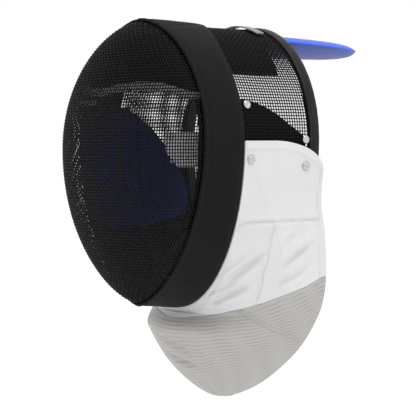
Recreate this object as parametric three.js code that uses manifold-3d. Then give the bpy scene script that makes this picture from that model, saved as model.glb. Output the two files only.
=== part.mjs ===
// A foil fencing mask: a domed face mesh and an over-the-head side mesh, joined under a wide
// fabric trim band, with a hanging padded bib, inner pads, a rear strap and a spring tongue.
// Units are millimetres, +Z up. The face looks along -Y and the wearer's left is +X.
// The origin is where the crown of the head carries the mask, under the crown pad.
import * as THREE from "three";
import { mergeVertices } from "three/addons/utils/BufferGeometryUtils.js";
import Module from "manifold-3d";

const wasm = await Module();
wasm.setup();

const { sin, cos, sqrt, max, min, abs, sign, round, PI } = Math;
const rad = PI / 180;
const clamp = (v, low, high) => max(low, min(high, v));
const lerp = (a, b, f) => a + (b - a) * f;
const smooth = (v, from, to) => {
  const f = clamp((v - from) / (to - from), 0, 1);
  return f * f * (3 - 2 * f);
};

// Driving sizes. Shell coordinates: y counts back from the face rim, z down from the crown.
const seat = { back: 85, below: 18.9 }; // where the head's crown touches, from the face rim and the top
const clearance = 0.4; // air left between pieces that touch
const shell = {
  halfWidth: 112, // outside of the mesh at its widest
  rearNarrowing: 3, // how much each side comes in by the rear edge
  rearAt: 146,
  crownRise: 117, // widest level up to the crown
  chinDropFace: 165.8, // widest level down to the chin, at the face rim
  chinDropBack: 170, // and behind the trim
  crownFall: 2.5, // how much lower the crown is behind the trim
  crownPower: 1.14, // 1 is an ellipse, more is a tighter top
  chinPowerFace: 1.3,
  chinPowerBack: 1.06,
  mesh: 2, // two crossing wires
};
const trimBand = { side: 47, extraAtTop: 24, topPower: 6.5, thick: 2.6, chinForward: 4, flange: 10 };
const dome = { depth: 59, level: -138, upPower: 0.64, downShape: 2.1, downPower: 0.66 };
const rear = { side: 141, extraAtTop: 10, width: 10, outside: 1.5, inside: 3.5 };
const sideMesh = { bottom: -214 };

const bib = {
  thick: 2.1,
  seat: 0.7,
  tabTop: -120,
  cornerFrom: 84, // the tab's top edge is level up to here, then rounds off to the rear edge
  cornerDrop: 30,
  rearEdge: 147,
  rearFlare: 4, // how much further back it runs lower down
  seamCentre: -306,
  seamRise: 41, // the lame seam climbs this much towards the side
  seamPower: 1.1,
  seamGap: 0.4, // half the air between the two cloths, whose facets differ
  halfWidth: 106.5,
  chin: -291.5,
  tip: -385.5,
  tipBack: 112.3,
  bulge: 21, // the cloth's belly under the chin
  straight: 110, // depth for each unit of along past 1
  sideCentre: 124, // where the bib's plan is widest
  flareFrom: -271, // below this the sides draw in to the tip
  flareShape: 2.86,
  flarePower: 0.9,
  fallPower: 0.4, // how fast the front and back meet at the tip
};
const pad = { crown: 14, cheek: 12, chin: 13 };
const strap = { top: -109, tall: 39, thick: 1.6, endAt: 114, bowTo: 152, inset: 11.8 };
const tongue = { halfWidth: 35, from: 150, to: 286, level: -16, rise: 7, fall: 13, slope: 5 };
const rivet = { head: 4.3, proud: 1.5, shank: 1.7, hole: 2.1, seat: 0.45, segments: 8 };

const colours = {
  wire: [0x18181a, 0.45, 0.3],
  trim: [0x202023, 0.85, 0],
  edge: [0x2a2a2b, 0.35, 0],
  white: [0xe9e9eb, 0.8, 0],
  lame: [0xb3b0ab, 0.5, 0.4],
  blue: [0x2a3c9e, 0.6, 0],
  tongueBlue: [0x2f5ad0, 0.35, 0],
  black: [0x1a1a1c, 0.9, 0],
  steel: [0xb8b8b6, 0.3, 0.9],
};
const finish = Object.fromEntries(
  Object.entries(colours).map(([name, [color, roughness, metalness]]) => [
    name,
    new THREE.MeshStandardMaterial({ name, color, roughness, metalness }),
  ]),
);

const mask = new THREE.Group();
const shellFrame = new THREE.Group();
shellFrame.position.set(0, -seat.back, seat.below);
mask.add(shellFrame);

// The egg-shaped cross-section. Angle 0 is the crown, 90 the wearer's left, 180 the chin.
const chinDrop = (y) => lerp(shell.chinDropFace, shell.chinDropBack, smooth(y, 0, trimBand.side));
const crownReach = (y) => shell.crownRise - shell.crownFall * smooth(y, 20, 90);
function section(angle, y, outward = 0) {
  const s = sin(angle);
  const c = cos(angle);
  const half = shell.halfWidth - shell.rearNarrowing * clamp(y / shell.rearAt, 0, 1) + outward;
  const chinPower = lerp(shell.chinPowerFace, shell.chinPowerBack, smooth(y, 0, trimBand.side));
  const power = c >= 0 ? shell.crownPower : chinPower;
  const reach = (c >= 0 ? crownReach(y) : chinDrop(y)) + outward;
  return new THREE.Vector3(half * sign(s) * abs(s) ** power, y, -shell.crownRise + reach * c);
}
function angleAtHeight(z, y, outward = 0) {
  const rise = z + shell.crownRise;
  const reach = (rise >= 0 ? crownReach(y) : chinDrop(y)) + outward;
  return Math.acos(clamp(rise / reach, -1, 1));
}
const halfWidthAt = (z, y, outward) => section(angleAtHeight(z, y, outward), y, outward).x;

const faceEdge = (angle) => -trimBand.chinForward * ((1 - cos(angle)) / 2) ** 2;
const trimRear = (angle) => trimBand.side + trimBand.extraAtTop * max(0, cos(angle)) ** trimBand.topPower;
const meshRear = (angle) => rear.side + rear.extraAtTop * max(0, cos(angle)) ** 2;

// How far the face mesh bulges forward at a height, on the centre line.
function domeDepth(z, outward) {
  const depth = dome.depth + outward;
  const rise = z - dome.level;
  if (rise >= 0) {
    const top = -dome.level + outward;
    return depth * (1 - clamp(rise / top, 0, 1) ** 2) ** dome.upPower;
  }
  const bottom = shell.crownRise + shell.chinDropFace + dome.level + outward;
  return depth * (1 - clamp(-rise / bottom, 0, 1) ** dome.downShape) ** dome.downPower;
}
function domePoint(x, z, angle, outward) {
  const half = max(halfWidthAt(z, 0, outward), 1e-6);
  return faceEdge(angle) - domeDepth(z, outward) * sqrt(max(0, 1 - (x / half) ** 2));
}

function geometryFrom(vertices, triangles) {
  const g = new THREE.BufferGeometry();
  g.setAttribute("position", new THREE.Float32BufferAttribute(vertices.flatMap((v) => v.toArray()), 3));
  g.setIndex(triangles.flat());
  return g;
}
// A manifold-3d solid from a closed geometry, turned face out.
function solidFrom(geometry) {
  const bare = geometry.index ? geometry.toNonIndexed() : geometry.clone();
  for (const name of Object.keys(bare.attributes)) {
    if (name !== "position") bare.deleteAttribute(name);
  }
  const merged = mergeVertices(bare, 1e-3);
  const source = merged.index.array;
  const kept = [];
  for (let i = 0; i < source.length; i += 3) {
    const [a, b, c] = source.slice(i, i + 3);
    if (a !== b && b !== c && c !== a) kept.push(a, b, c);
  }
  const make = (order) =>
    new wasm.Manifold(
      new wasm.Mesh({
        numProp: 3,
        vertProperties: new Float32Array(merged.attributes.position.array),
        triVerts: new Uint32Array(order),
      }),
    );
  const solid = make(kept);
  if (solid.volume() > 0) return solid;
  const turned = [];
  for (let i = 0; i < kept.length; i += 3) turned.push(kept[i], kept[i + 2], kept[i + 1]);
  return make(turned);
}
function geometryOf(solid) {
  const m = solid.getMesh();
  const g = new THREE.BufferGeometry();
  g.setAttribute("position", new THREE.BufferAttribute(new Float32Array(m.vertProperties), 3));
  g.setIndex(new THREE.BufferAttribute(new Uint32Array(m.triVerts), 1));
  const flat = g.toNonIndexed();
  flat.computeVertexNormals();
  return flat;
}
function add(name, solid, material) {
  const m = new THREE.Mesh(geometryOf(solid), material);
  m.name = name;
  shellFrame.add(m);
}

// A wall between two grids of points: at(u, v, outer) for u and v from 0 to 1.
function wall(columns, rows, at) {
  const vertices = [];
  const index = [0, 1].map((side) =>
    Array.from({ length: columns + 1 }, (_, i) =>
      Array.from({ length: rows + 1 }, (_, j) => {
        vertices.push(at(i / columns, j / rows, side === 1));
        return vertices.length - 1;
      }),
    ),
  );
  const triangles = [];
  const quad = (a, b, c, d) => triangles.push([a, b, c], [a, c, d]);
  const [inner, outer] = index;
  for (let i = 0; i < columns; i++) {
    for (let j = 0; j < rows; j++) {
      quad(outer[i][j], outer[i + 1][j], outer[i + 1][j + 1], outer[i][j + 1]);
      quad(inner[i][j], inner[i][j + 1], inner[i + 1][j + 1], inner[i + 1][j]);
    }
    quad(inner[i][0], inner[i + 1][0], outer[i + 1][0], outer[i][0]);
    quad(outer[i][rows], outer[i + 1][rows], inner[i + 1][rows], inner[i][rows]);
  }
  for (let j = 0; j < rows; j++) {
    quad(outer[0][j], outer[0][j + 1], inner[0][j + 1], inner[0][j]);
    quad(inner[columns][j], inner[columns][j + 1], outer[columns][j + 1], outer[columns][j]);
  }
  return solidFrom(geometryFrom(vertices, triangles));
}

// A closed profile carried along stations; point(station, corner) gives each vertex.
function loft(stations, corners, closed, point) {
  const vertices = [];
  for (let i = 0; i < stations; i++) {
    for (let j = 0; j < corners; j++) vertices.push(point(i, j));
  }
  const id = (i, j) => (i % stations) * corners + (j % corners);
  const triangles = [];
  for (let i = 0; i < (closed ? stations : stations - 1); i++) {
    for (let j = 0; j < corners; j++) {
      triangles.push([id(i, j), id(i + 1, j), id(i + 1, j + 1)]);
      triangles.push([id(i, j), id(i + 1, j + 1), id(i, j + 1)]);
    }
  }
  if (!closed) {
    for (let j = 1; j < corners - 1; j++) {
      triangles.push([id(0, 0), id(0, j), id(0, j + 1)]);
      triangles.push([id(stations - 1, 0), id(stations - 1, j + 1), id(stations - 1, j)]);
    }
  }
  return solidFrom(geometryFrom(vertices, triangles));
}

// The face mesh's surface as rings from its flange, over the rim, to the nose.
function faceRings(outward, around, rings) {
  const centre = dome.level;
  const out = [];
  for (let i = 0; i < around; i++) {
    const angle = (2 * PI * i) / around;
    const line = [section(angle, trimBand.flange, outward)];
    for (let j = 0; j < rings; j++) {
      const turn = 90 * rad * (1 - j / rings);
      const rim = section(angle, 0, outward);
      const x = rim.x * sin(turn);
      const z = lerp(centre, rim.z, sin(turn));
      line.push(new THREE.Vector3(x, j === 0 ? faceEdge(angle) : domePoint(x, z, angle, outward), z));
    }
    out.push(line);
  }
  const nose = new THREE.Vector3(0, domePoint(0, centre, 90 * rad, outward), centre);
  return { lines: out, nose };
}
function faceSolid(outward, around, rings, inward = null) {
  const vertices = [];
  const triangles = [];
  const addSkin = (skin, turned) => {
    const start = vertices.length;
    const per = skin.lines[0].length;
    skin.lines.forEach((line) => vertices.push(...line));
    const nose = vertices.push(skin.nose) - 1;
    const id = (i, j) => start + (i % around) * per + j;
    const tri = (a, b, c) => triangles.push(turned ? [a, c, b] : [a, b, c]);
    for (let i = 0; i < around; i++) {
      for (let j = 0; j < per - 1; j++) {
        tri(id(i, j), id(i + 1, j), id(i + 1, j + 1));
        tri(id(i, j), id(i + 1, j + 1), id(i, j + 1));
      }
      tri(id(i, per - 1), id(i + 1, per - 1), nose);
    }
    return id;
  };
  const outer = addSkin(faceRings(outward, around, rings), false);
  if (inward === null) {
    const back = vertices.push(new THREE.Vector3(0, trimBand.flange, dome.level)) - 1;
    for (let i = 0; i < around; i++) triangles.push([outer(i, 0), back, outer(i + 1, 0)]);
  } else {
    const inner = addSkin(faceRings(inward, around, rings), true);
    for (let i = 0; i < around; i++) {
      triangles.push([outer(i, 0), inner(i, 0), inner(i + 1, 0)]);
      triangles.push([outer(i, 0), inner(i + 1, 0), outer(i + 1, 0)]);
    }
  }
  return solidFrom(geometryFrom(vertices, triangles));
}

// The bib's inside surface. along is 0 at the centre front and 1 where the side is widest, then
// goes on straight to the rear edge; z is the height.
function bibSurface(along, z) {
  const flare = clamp((bib.flareFrom - z) / (bib.flareFrom - bib.tip), 0, 1);
  const half = max(bib.halfWidth * (1 - flare ** bib.flareShape) ** bib.flarePower, 1e-3);
  const fall = clamp((bib.chin - z) / (bib.chin - bib.tip), 0, 1);
  const centre = lerp(bib.sideCentre, bib.tipBack, fall);
  const reach = centre - trimBand.side + bib.bulge * smooth(-z, -bib.chin, 22 - bib.chin);
  const atTrim = z > bib.chin ? halfWidthAt(z, trimBand.side, 0) : 0;
  const share = atTrim / half;
  const eased = share < 0.88 ? share : 0.88 + (share - 0.88) * 0.6; // keeps the tab's plan finite
  const depth = (reach / sqrt(1 - eased ** 2)) * (1 - fall) ** bib.fallPower;
  const turn = 90 * rad * (1 - clamp(along, 0, 1));
  const y = centre - depth * sin(turn) + max(0, along - 1) * bib.straight;
  const onShell = halfWidthAt(max(z, bib.chin), clamp(y, trimBand.side, shell.rearAt), 0);
  const x = lerp(onShell, max(half * cos(turn), onShell), smooth(z, -150, -215));
  return new THREE.Vector3(x, y, z);
}
function bibNormal(along, z) {
  const level = max(z, bib.tip + 5);
  const across = new THREE.Vector3(1, 0, 0);
  if (along > 0.02) across.subVectors(bibSurface(along + 0.01, level), bibSurface(along - 0.01, level));
  const upward = bibSurface(along, level + 1).sub(bibSurface(along, level - 1));
  return across.cross(upward).normalize();
}
const alongAtTrim = (z) => alongAt(z, trimBand.side + clearance);
// The along value that gives a depth y at a height, by halving.
function alongAt(z, y) {
  let [low, high] = [0, 1.3];
  for (let i = 0; i < 30; i++) {
    const middle = (low + high) / 2;
    if (bibSurface(middle, z).y < y) low = middle;
    else high = middle;
  }
  return (low + high) / 2;
}
// The tab's top edge: level, then a rounded corner.
function tabTopDrop(y) {
  const f = clamp((y - bib.cornerFrom) / (bib.rearEdge - bib.cornerFrom), 0, 1);
  return bib.cornerDrop * (1 - sqrt(1 - f * f));
}
const seamHeight = (along) => bib.seamCentre + bib.seamRise * min(along, 1.2) ** bib.seamPower;
const rearAlong = (z) => alongAt(z, bib.rearEdge + bib.rearFlare * smooth(z, -160, -260));

// The face mesh, a wall with a flange that runs back under the trim.
add("front_mesh", faceSolid(0, 48, 9, -shell.mesh), finish.wire);

// The side mesh, an arch from one side over the crown to the other.
const sideEnd = angleAtHeight(sideMesh.bottom, 60);
let sideCloth = wall(36, 7, (u, v, outer) => {
  const angle = lerp(-sideEnd, sideEnd, u);
  const y = lerp(trimBand.flange + 1, meshRear(angle), v ** 1.3);
  return section(angle, y, outer ? 0 : -shell.mesh);
});

// The trim band over the seam between the two meshes: outer face first, then the inner.
const bandSeat = 0.75;
const trimProfile = [
  { along: 0, outward: 1.2 },
  { along: 0.04, outward: trimBand.thick },
  { along: 0.35, outward: trimBand.thick + 0.4 },
  { along: 0.7, outward: trimBand.thick + 0.3 },
  { along: 0.96, outward: trimBand.thick },
  { along: 1, outward: 1.2 },
  { along: 1, outward: bandSeat },
  { along: 0.75, outward: bandSeat },
  { along: 0.5, outward: bandSeat },
  { along: 0.25, outward: bandSeat },
  { along: 0, outward: bandSeat },
];
const trimStations = 56;
add(
  "front_trim",
  loft(trimStations, trimProfile.length, true, (i, j) => {
    const angle = (2 * PI * i) / trimStations;
    const { along, outward } = trimProfile[j];
    return section(angle, lerp(faceEdge(angle), trimRear(angle), along), outward);
  }),
  finish.trim,
);

// The edging folded over the side mesh's rear edge.
const edgeProfile = [
  { along: 0, outward: clearance },
  { along: 0.1, outward: rear.outside },
  { along: 0.95, outward: rear.outside },
  { along: 1.2, outward: 0.2 },
  { along: 1.2, outward: -shell.mesh - 1 },
  { along: 0.95, outward: -rear.inside },
  { along: 0.1, outward: -rear.inside },
  { along: 0, outward: -shell.mesh - clearance },
  { along: 1.03, outward: -shell.mesh - clearance },
  { along: 1.03, outward: clearance },
];
const edgeStations = 37;
add(
  "rear_edging",
  loft(edgeStations, edgeProfile.length, false, (i, j) => {
    const angle = lerp(-sideEnd, sideEnd, i / (edgeStations - 1));
    const { along, outward } = edgeProfile[j];
    return section(angle, meshRear(angle) + (along - 1) * rear.width, outward);
  }),
  finish.edge,
);

// The bib hangs from the trim's rear edge, and its side tabs lie over the side mesh.
const chinTop = -shell.crownRise - shell.chinDropBack - 1;
// Creases pressed into the cloth: start and end as along and height, depth and half width.
const creases = [
  { a1: 0.36, z1: -270, a2: 0.77, z2: -230, deep: 1.6, wide: 4 },
  { a1: 0.8, z1: -252, a2: 1.12, z2: -222, deep: 1.4, wide: 4 },
];
function creaseDepth(along, z) {
  const unit = 110;
  let deep = 0;
  for (const c of creases) {
    const [dx, dz] = [(c.a2 - c.a1) * unit, c.z2 - c.z1];
    const [px, pz] = [(abs(along) - c.a1) * unit, z - c.z1];
    const f = clamp((px * dx + pz * dz) / (dx * dx + dz * dz), 0, 1);
    const away = sqrt((px - f * dx) ** 2 + (pz - f * dz) ** 2);
    deep = max(deep, c.deep * (1 - smooth(away, 0, c.wide * 1.6)) * sin(PI * f) ** 0.5);
  }
  return deep;
}
// Next to the trim the cloth's thickness runs outward from the shell, as the trim's does.
function bibPoint(along, z, outer) {
  const side = along < 0 ? -1 : 1;
  const p = bibSurface(abs(along), z);
  const edging = rear.side - rear.width;
  const overEdging = (rear.outside + 0.2) * smooth(p.y, edging - 22, edging - 3);
  const lift = bib.seat + overEdging + (outer ? bib.thick : 0) - creaseDepth(along, z);
  const angle = angleAtHeight(z, trimBand.side);
  const outward = new THREE.Vector3(sin(angle), 0, cos(angle));
  const free = max(smooth(p.y, trimBand.side, trimBand.side + 8), smooth(-z, 2 - chinTop, 9 - chinTop));
  p.addScaledVector(outward.lerp(bibNormal(abs(along), z), free).normalize(), lift);
  if (p.z > chinTop - trimBand.thick - 1) p.y = max(p.y, trimBand.side + clearance);
  p.x *= side;
  return p;
}
// The front boundary for a share from 0 under the chin to 1 at the tab's front corner.
const frontCount = 11;
const tabCount = 6;
const halfCount = frontCount + tabCount;
function bibColumn(k) {
  if (k <= frontCount) {
    const z = lerp(chinTop, bib.tabTop, (k / frontCount) ** 1.2);
    const along = z < chinTop + 0.01 ? 0 : alongAtTrim(z);
    return { top: z, alongAtTop: along, rearShare: 0 };
  }
  const f = sin((90 * rad * (k - frontCount)) / tabCount);
  const y = lerp(trimBand.side, bib.rearEdge, f);
  const top = bib.tabTop - tabTopDrop(y);
  return { top, alongAtTop: alongAt(top, y), rearShare: f };
}
const tabFrontAlong = alongAtTrim(bib.tabTop);
const rearEnd = rearAlong(seamHeight(1.2));
// Where a column crosses the seam.
function seamAlong({ alongAtTop, rearShare }) {
  return rearShare === 0 ? alongAtTop : lerp(tabFrontAlong, rearEnd, rearShare);
}
let bibCloth = wall(2 * halfCount, 9, (u, v, outer) => {
  const k = round((2 * u - 1) * halfCount);
  const column = bibColumn(abs(k));
  const z = lerp(column.top, seamHeight(seamAlong(column)) + bib.seamGap, v);
  const back = lerp(tabFrontAlong, rearAlong(z), column.rearShare);
  const along = column.rearShare === 0 ? column.alongAtTop : back;
  return bibPoint(sign(k) * along, z, outer);
});

// The lame part below the seam runs to the hem, where the cloth turns back towards the throat.
const lameCloth = wall(2 * halfCount, 8, (u, v, outer) => {
  const k = round((2 * u - 1) * halfCount);
  const along = seamAlong(bibColumn(abs(k)));
  const z = lerp(seamHeight(along) - bib.seamGap, bib.tip, v);
  const limit = lerp(1, 1 / rearEnd, smooth(v, 0, 0.8));
  return bibPoint(sign(k) * along * limit, z, outer);
});

// Rivets sit in holes through the side mesh, and the lower pairs go through the bib too.
const rivetPlaces = [
  { name: "mesh_rivet_front", y: 55, z: -85, onBib: false },
  { name: "mesh_rivet_rear", y: 126, z: -119, onBib: false },
  { name: "bib_rivet_front", y: 55, z: -138, onBib: true },
  { name: "bib_rivet_rear", y: 124, z: -145, onBib: true },
];
const meshWall = (z, y) => section(angleAtHeight(z, y), y);
const bibWall = (z, y) => bibPoint(alongAt(z, y), z, true);
// Turns a solid of revolution about Y to stand on a wall of the wearer's left or right.
function seated(geometry, wallAt, z, y, side) {
  const at = wallAt(z, y);
  const back = wallAt(z, y + 2).sub(wallAt(z, y - 2));
  const up = wallAt(z + 2, y).sub(wallAt(z - 2, y));
  const normal = back.cross(up).normalize();
  at.x *= side;
  normal.x *= side;
  geometry.applyQuaternion(new THREE.Quaternion().setFromUnitVectors(new THREE.Vector3(0, 1, 0), normal));
  return solidFrom(geometry.translate(at.x, at.y, at.z));
}
// A domed head outside and a shank through the hole, flush inside.
function rivetShape(through) {
  const { head, proud, shank, seat: gap } = rivet;
  const profile = [
    [0, -through],
    [shank, -through],
    [shank, gap],
    [head, gap],
    [head * 0.9, gap + proud * 0.45],
    [head * 0.55, gap + proud * 0.85],
    [0, gap + proud],
  ].map(([a, b]) => new THREE.Vector2(a, b));
  return new THREE.LatheGeometry(profile, rivet.segments);
}
for (const side of [-1, 1]) {
  for (const { name, y, z, onBib } of rivetPlaces) {
    const wallAt = onBib ? bibWall : meshWall;
    const through = wallAt(z, y).x - meshWall(z, y).x + shell.mesh;
    const hole = new THREE.CylinderGeometry(rivet.hole, rivet.hole, 16, 10);
    const cutter = seated(hole, wallAt, z, y, side);
    sideCloth = sideCloth.subtract(cutter);
    if (onBib) bibCloth = bibCloth.subtract(cutter);
    add(`${name}_${side > 0 ? "left" : "right"}`, seated(rivetShape(through), wallAt, z, y, side), finish.steel);
  }
}
add("bib", bibCloth, finish.white);
add("bib_lame", lameCloth, finish.lame);

// A pad's thickness falls off to a thin seamed edge.
const pillow = (u, v, thick, edge) =>
  edge + (thick - edge) * (1 - abs(2 * u - 1) ** 4) * (1 - abs(2 * v - 1) ** 4);
const padSeat = -shell.mesh - 0.8; // deeper than the clearance, because the facets differ

// The crown pad lines the side mesh over the head.
const crownPad = { reach: 51 * rad, front: 12, back: 116, backAtEnd: 100 };
add(
  "crown_pad",
  wall(16, 5, (u, v, outer) => {
    const angle = lerp(-crownPad.reach, crownPad.reach, u);
    const back = lerp(crownPad.back, crownPad.backAtEnd, abs(2 * u - 1) ** 6);
    const y = lerp(crownPad.front, back, v);
    return section(angle, y, padSeat - (outer ? 0 : pillow(u, v, pad.crown, 3)));
  }),
  finish.black,
);

// The forehead pad lines the top of the face mesh down to an arched edge.
const foreheadPad = { reach: 74 * rad, clear: 0.8, top: -12, bottom: -67, arch: 9, back: -6 };
add(
  "forehead_pad",
  wall(16, 5, (u, v, outer) => {
    const across = 2 * u - 1;
    const inset = padSeat - foreheadPad.clear - (outer ? 0 : pillow(u, v, pad.crown - 2, 3));
    const z = lerp(foreheadPad.top + inset, foreheadPad.bottom - foreheadPad.arch * across * across, v);
    const x = halfWidthAt(z, 0, inset) * sin(across * foreheadPad.reach);
    return new THREE.Vector3(x, min(domePoint(x, z, 0, inset), foreheadPad.back), z);
  }),
  finish.black,
);

// Cheek pads line the side walls; their top edge drops towards the back.
const cheekPad = { front: 8, back: 120, top: -74, drop: 56, bottom: -211 };
for (const side of [-1, 1]) {
  add(
    side > 0 ? "cheek_pad_left" : "cheek_pad_right",
    wall(10, 7, (u, v, outer) => {
      const y = lerp(cheekPad.front, cheekPad.back, u);
      const top = cheekPad.top - cheekPad.drop * u ** 2.2;
      const z = lerp(top, cheekPad.bottom, v);
      const p = section(angleAtHeight(z, y), y, padSeat - (outer ? 0 : pillow(u, v, pad.cheek, 3)));
      return new THREE.Vector3(side * p.x, p.y, p.z);
    }),
    finish.blue,
  );
}

// The chin pad lines the lower shell from cheek to cheek.
const chinPad = { from: 128 * rad, front: 8, back: 64 };
add(
  "chin_pad",
  wall(16, 4, (u, v, outer) => {
    const angle = lerp(chinPad.from, 2 * PI - chinPad.from, u);
    const y = lerp(chinPad.front, chinPad.back, v);
    return section(angle, y, padSeat - (outer ? 0 : pillow(u, v, pad.chin, 3)));
  }),
  finish.black,
);

// An elastic strap crosses the back opening behind the head, inside the cheek pads.
add(
  "rear_strap",
  wall(18, 1, (u, v, outer) => {
    const across = 2 * u - 1;
    const half = shell.halfWidth - strap.inset;
    const bow = sqrt(1 - 0.995 * across * across);
    const out = outer ? strap.thick : 0;
    const y = lerp(strap.endAt, strap.bowTo, bow) + out;
    return new THREE.Vector3(half * across, y, strap.top - strap.tall * v);
  }),
  finish.white,
);

// A bent plate over the crown clamps the tongue's spring, with its two posts through the mesh.
const plate = { reach: 23.5 * rad, from: 119, to: 129, thick: 1.6, post: 1.7, postAt: 6 };
const spring = { half: 11, thick: 1.2, from: 119, bend: 137, to: 149.7, drop: 8 };
const crownTop = -shell.crownFall;
const springTop = crownTop - shell.mesh - 2;
function postSolid(side, extra) {
  const [low, high] = [springTop + clearance, crownTop + clearance + plate.thick / 2];
  const g = new THREE.CylinderGeometry(plate.post + extra, plate.post + extra, high - low, 10);
  g.rotateX(PI / 2);
  return solidFrom(g.translate(side * plate.postAt, (plate.from + plate.to) / 2, (low + high) / 2));
}
let plateSolid = wall(9, 1, (u, v, outer) => {
  const angle = lerp(-plate.reach, plate.reach, u);
  return section(angle, lerp(plate.from, plate.to, v), clearance + (outer ? plate.thick : 0));
});
for (const side of [-1, 1]) {
  plateSolid = plateSolid.add(postSolid(side, 0));
  sideCloth = sideCloth.subtract(postSolid(side, clearance));
}
add("tongue_plate", plateSolid, finish.steel);
add("side_mesh", sideCloth, finish.wire);
add(
  "tongue_spring",
  wall(1, 8, (u, v, outer) => {
    const y = lerp(spring.from, spring.to, v);
    const z = springTop - spring.drop * smooth(y, spring.bend, spring.to + 4);
    return new THREE.Vector3(spring.half * (2 * u - 1), y, z - (outer ? 0 : spring.thick));
  }),
  finish.steel,
);

// The spring carries the padded tongue, a pillow with a rounded, slightly pointed end.
function tongueHalf(f) {
  return tongue.halfWidth * (1 - f ** 3.2) ** 0.62 * (0.9 + 0.1 * smooth(f, 0, 0.2));
}
add(
  "tongue",
  wall(10, 9, (u, v, outer) => {
    const across = 2 * u - 1;
    const y = lerp(tongue.from, tongue.to, v);
    const level = tongue.level - tongue.slope * v;
    const ends = sqrt(max(0, 1 - v ** 3)) * (0.55 + 0.45 * smooth(v, 0, 0.25));
    const swell = (1 - across * across) ** 0.7 * ends;
    const fall = tongue.fall * (1 - 0.35 * v);
    const z = level + 0.6 * (outer ? 1 : -1) + (outer ? tongue.rise : -fall) * swell;
    return new THREE.Vector3(tongueHalf(v) * across, y, z);
  }),
  finish.tongueBlue,
);
export default mask;
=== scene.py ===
from math import pi, radians

import bpy
import numpy as np
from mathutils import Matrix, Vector


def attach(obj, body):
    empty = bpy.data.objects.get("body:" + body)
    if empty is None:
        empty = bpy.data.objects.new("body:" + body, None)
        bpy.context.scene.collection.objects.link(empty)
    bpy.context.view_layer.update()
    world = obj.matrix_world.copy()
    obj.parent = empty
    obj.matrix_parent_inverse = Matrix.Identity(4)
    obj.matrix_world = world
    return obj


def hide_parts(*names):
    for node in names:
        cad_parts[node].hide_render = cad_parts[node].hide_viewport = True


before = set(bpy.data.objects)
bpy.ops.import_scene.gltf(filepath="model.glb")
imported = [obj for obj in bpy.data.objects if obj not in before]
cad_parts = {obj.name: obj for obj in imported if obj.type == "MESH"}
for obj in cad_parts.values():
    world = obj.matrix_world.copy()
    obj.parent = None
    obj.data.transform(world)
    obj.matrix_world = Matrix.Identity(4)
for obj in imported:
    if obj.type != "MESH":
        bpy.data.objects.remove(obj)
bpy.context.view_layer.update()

# A fencing mask: woven wire face and sides, a fabric trim band, a padded bib with a ribbed
# conductive part, pads inside and a spring tongue behind. Surfaces are worked out in millimetres
# in shell coordinates, as in the part's source: y back from the face rim, z up from the crown.
mm = 0.001
seat = {"back": 85, "below": 18.9}
shell = {"halfWidth": 112, "rearNarrowing": 3, "rearAt": 146, "crownRise": 117, "chinDropFace": 165.8,
         "chinDropBack": 170, "crownFall": 2.5, "crownPower": 1.14, "chinPowerFace": 1.3,
         "chinPowerBack": 1.06, "mesh": 2}
band = {"side": 47, "extraAtTop": 24, "topPower": 6.5, "chinForward": 4}
dome = {"depth": 59, "level": -138, "upPower": 0.64, "downShape": 2.1, "downPower": 0.66}
rear = {"side": 141, "extraAtTop": 10, "width": 10, "sideMeshBottom": -214}
bib = {"thick": 2.1, "seat": 0.7, "tabTop": -120, "cornerFrom": 84, "cornerDrop": 30, "rearEdge": 147,
       "rearFlare": 4, "seamCentre": -301.5, "seamRise": 41, "seamPower": 1.1, "seamEase": 0.12,
       "halfWidth": 106.5, "chin": -291.5, "chinTop": -288, "tip": -385.5, "tipBack": 112.3, "bulge": 21,
       "straight": 110, "sideCentre": 124, "flareFrom": -271, "flareShape": 2.86, "flarePower": 0.9,
       "fallPower": 0.4}


def smooth(value, start, end):
    f = np.clip((value - start) / (end - start), 0, 1)
    return f * f * (3 - 2 * f)


def mix(a, b, f):
    return a + (b - a) * f


def points(x, y, z):
    return np.stack(np.broadcast_arrays(x, y, z), axis=-1).astype(float)


def unit(vectors):
    return vectors / np.maximum(np.linalg.norm(vectors, axis=-1, keepdims=True), 1e-9)


def toFrame(spots):  # shell millimetres to the frame's metres
    return (np.asarray(spots, float) + (0, -seat["back"], seat["below"])) * mm


def chinDrop(y):
    return mix(shell["chinDropFace"], shell["chinDropBack"], smooth(y, 0, band["side"]))


def crownReach(y):
    return shell["crownRise"] - shell["crownFall"] * smooth(y, 20, 90)


def shellPoint(angle, y, out=0):  # angle 0 is the crown, 90 degrees the wearer's left
    s, c = np.sin(angle), np.cos(angle)
    half = shell["halfWidth"] - shell["rearNarrowing"] * np.clip(y / shell["rearAt"], 0, 1) + out
    chinPower = mix(shell["chinPowerFace"], shell["chinPowerBack"], smooth(y, 0, band["side"]))
    power = np.where(c >= 0, shell["crownPower"], chinPower)
    reach = np.where(c >= 0, crownReach(y), chinDrop(y)) + out
    return points(half * np.sign(s) * np.abs(s) ** power, y, reach * c - shell["crownRise"])


def angleAtHeight(z, y, out=0):
    rise = z + shell["crownRise"]
    reach = np.where(rise >= 0, crownReach(y), chinDrop(y)) + out
    return np.arccos(np.clip(rise / reach, -1, 1))


def halfWidthAt(z, y, out=0):
    return shellPoint(angleAtHeight(z, y, out), y, out)[..., 0]


def faceEdge(angle):
    return -band["chinForward"] * ((1 - np.cos(angle)) / 2) ** 2


def trimRear(angle):
    return band["side"] + band["extraAtTop"] * np.maximum(0, np.cos(angle)) ** band["topPower"]


def meshRear(angle):
    return rear["side"] + rear["extraAtTop"] * np.maximum(0, np.cos(angle)) ** 2


def domeDepth(z, out=0):
    depth = dome["depth"] + out
    rise = z - dome["level"]
    top = out - dome["level"]
    bottom = shell["crownRise"] + shell["chinDropFace"] + dome["level"] + out
    upper = (1 - np.clip(rise / top, 0, 1) ** 2) ** dome["upPower"]
    lower = (1 - np.clip(-rise / bottom, 0, 1) ** dome["downShape"]) ** dome["downPower"]
    return depth * np.where(rise >= 0, upper, lower)


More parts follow.
